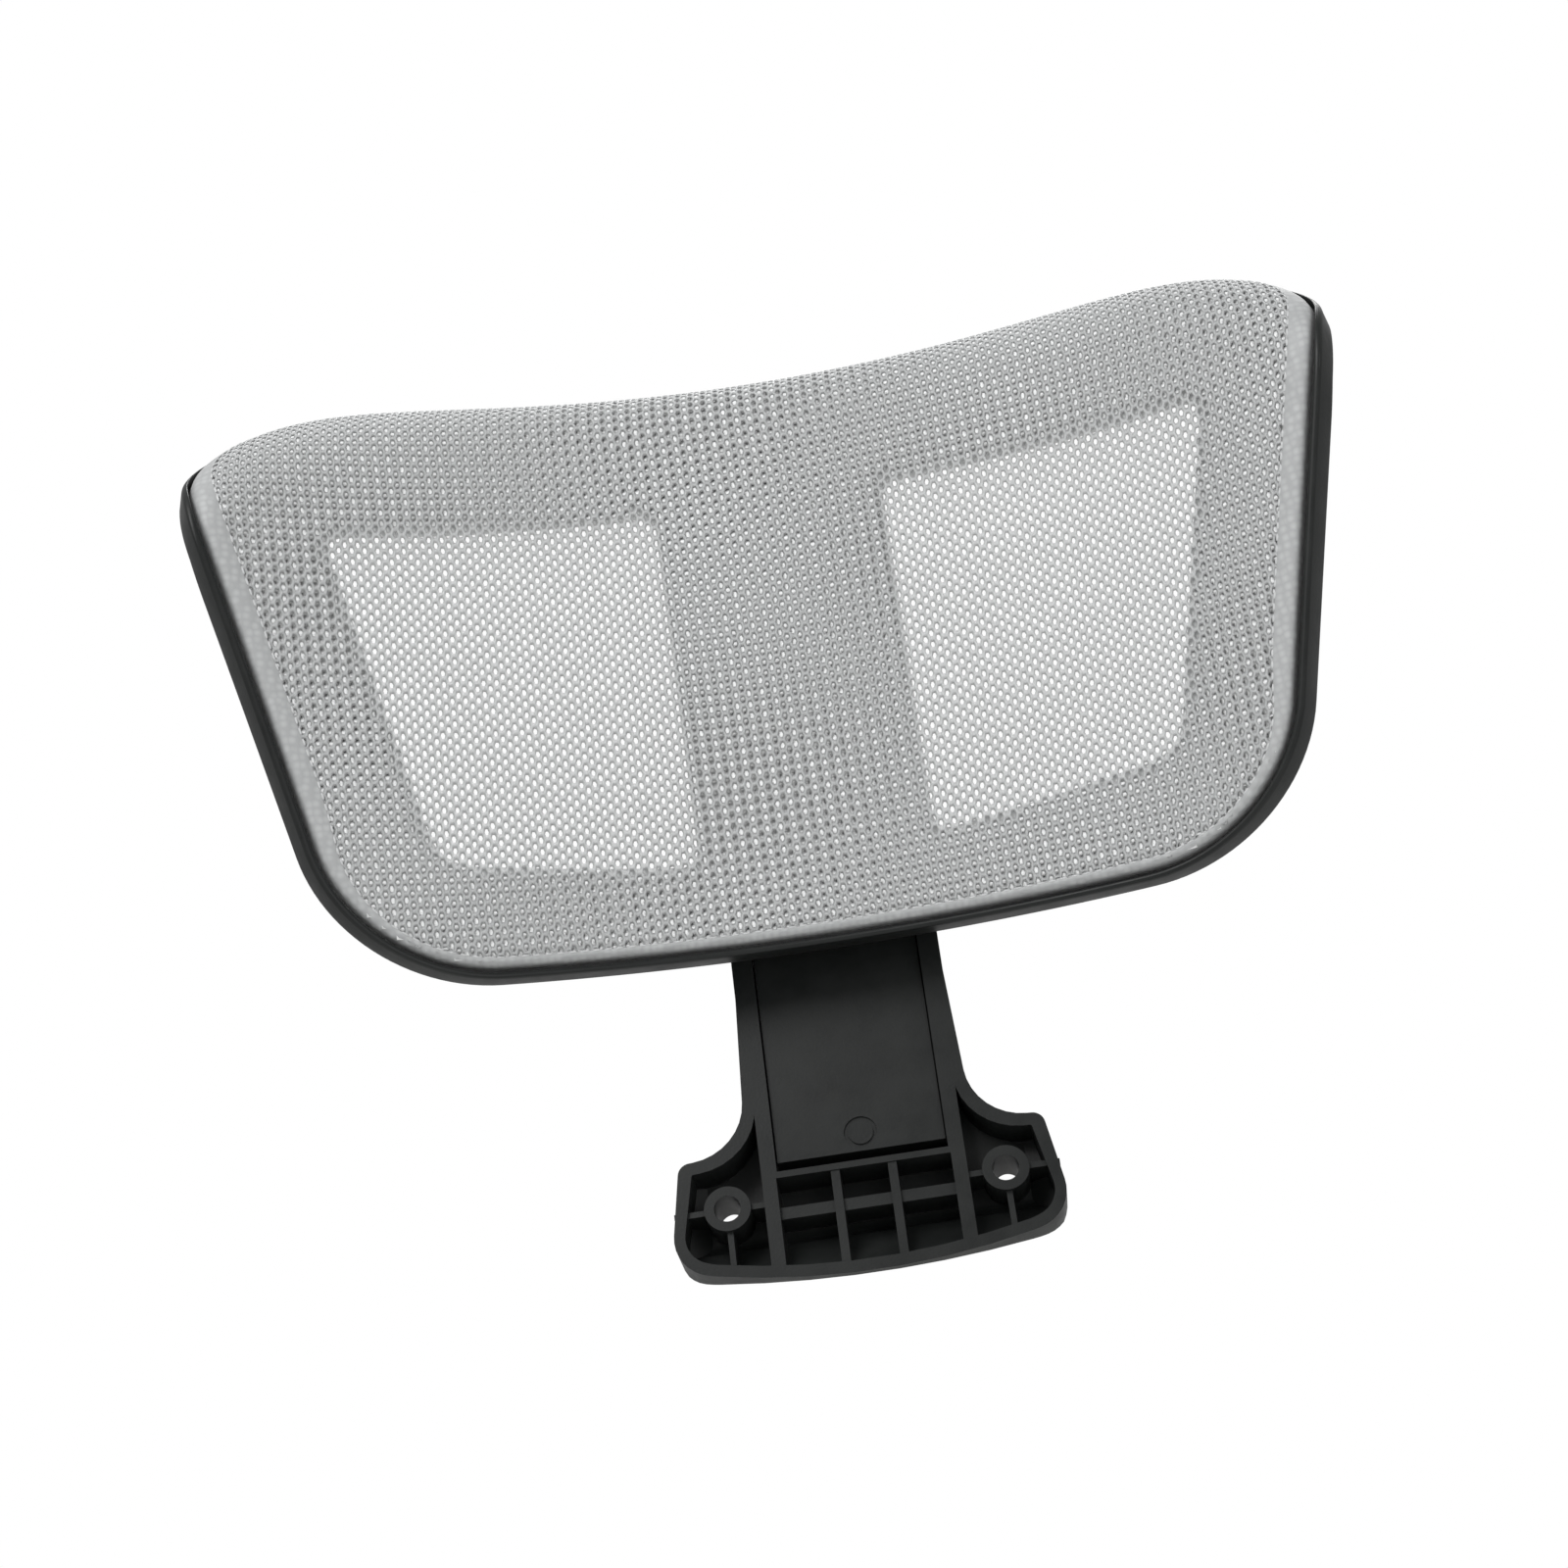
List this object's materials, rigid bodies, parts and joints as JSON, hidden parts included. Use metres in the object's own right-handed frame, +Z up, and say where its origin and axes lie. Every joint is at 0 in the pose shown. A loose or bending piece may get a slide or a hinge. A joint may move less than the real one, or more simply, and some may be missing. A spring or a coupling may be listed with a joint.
{
  "type": "chair headrest",
  "caption": "Saddle-shaped mesh headrest on a friction tilt hinge and a height-sliding stem, with a ribbed foot that bolts to a chair back.",
  "frame": {"origin": "midway between the two bolt holes, on the front face of the foot that lies against the rear of the chair back", "axes": "+X to the seated person's left-to-right as seen from the front, +Y away from the chair back, +Z up along the foot; the person is on the -Y side"},
  "size_m": [0.324, 0.1082, 0.2624],
  "materials": {
    "black_plastic": "fine moulded texture, semi-matt",
    "grey_plastic": "smooth semi-matt",
    "acetal": "smooth natural acetal",
    "steel": "zinc plated",
    "friction": "brown friction laminate",
    "mesh": "open knitted polyester mesh"
  },
  "bodies": {
    "bracket": {"mount_bracket": "black_plastic", "guide_liners": "acetal", "channel_cap": "black_plastic", "cap_screws": "steel"},
    "stem": {"slide_stem": "black_plastic", "glide_pads": "acetal", "pad_springs": "steel", "hinge_bushes": "acetal"},
    "head": {"tilt_bracket": "black_plastic", "bracket_screws": "steel", "hinge_bolt": "steel", "plain_washer": "steel", "disc_springs": "steel", "hinge_nut": "steel", "friction_washers": "friction", "hinge_caps": "black_plastic", "back_frame": "black_plastic", "frame_screws": "steel", "mesh_carrier": "grey_plastic", "listing_strip": "black_plastic", "mesh_fabric": "mesh"}
  },
  "joints": [
    {"name": "height_slide", "type": "slide", "parent": "bracket", "child": "stem", "axis": [0, 0, 1], "range_m": [0, 0.04]},
    {"name": "head_tilt", "type": "hinge", "parent": "stem", "child": "head", "pos_m": [0, -0.004, 0.112], "axis": [1, 0, 0], "range_deg": [-30, 8]}
  ]
}
